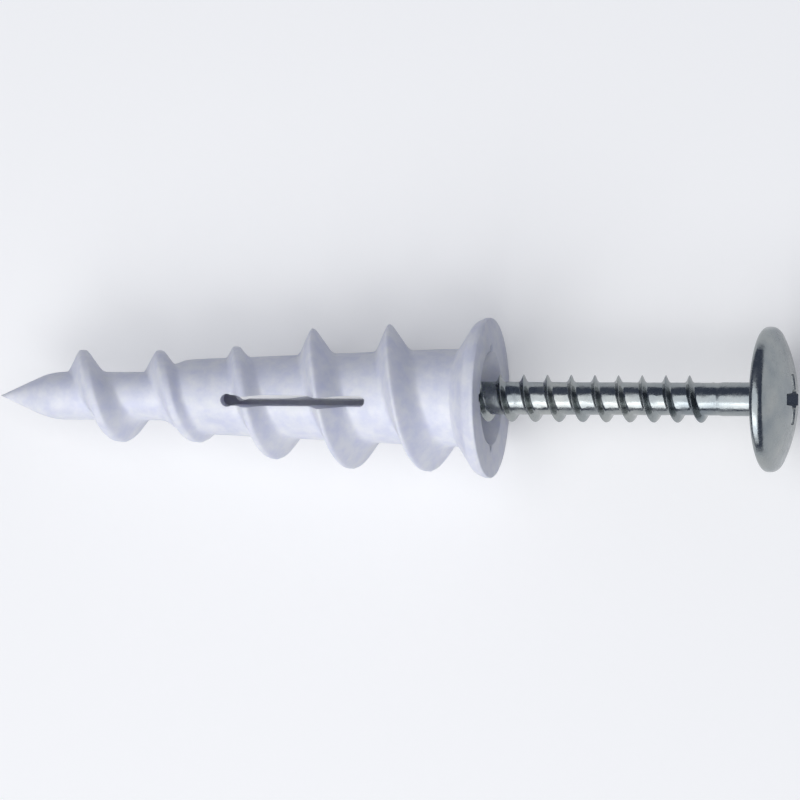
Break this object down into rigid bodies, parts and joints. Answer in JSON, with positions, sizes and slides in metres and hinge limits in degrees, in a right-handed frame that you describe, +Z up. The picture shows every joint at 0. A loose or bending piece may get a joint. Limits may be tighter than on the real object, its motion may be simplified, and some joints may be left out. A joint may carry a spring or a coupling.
{
  "type": "self-drilling drywall anchor",
  "caption": "Nylon self-drilling wall plug with a coarse auger thread, expansion slot and flange, and a truss-head screw started in its mouth.",
  "frame": {"origin": "where the common axis crosses the plug's front flange face, which ends up flush with the wall", "axes": "+X out of the wall along the common axis, from the drill point to the screw's head; +Z up as the anchor lies on its side, with the slot's near mouth up; +Y to the left of +X"},
  "size_m": [0.0723, 0.0142, 0.0142],
  "materials": {
    "nylon": "moulded, satin, cold white",
    "zinc_plated_steel": "bright zinc plate"
  },
  "bodies": {
    "plug": {"plug": "nylon"},
    "screw": {"screw": "zinc_plated_steel"}
  },
  "joints": [
    {"name": "screw_travel", "type": "slide", "parent": "plug", "child": "screw", "axis": [1, 0, 0], "range_m": [-0.0247, 0.0026]}
  ]
}
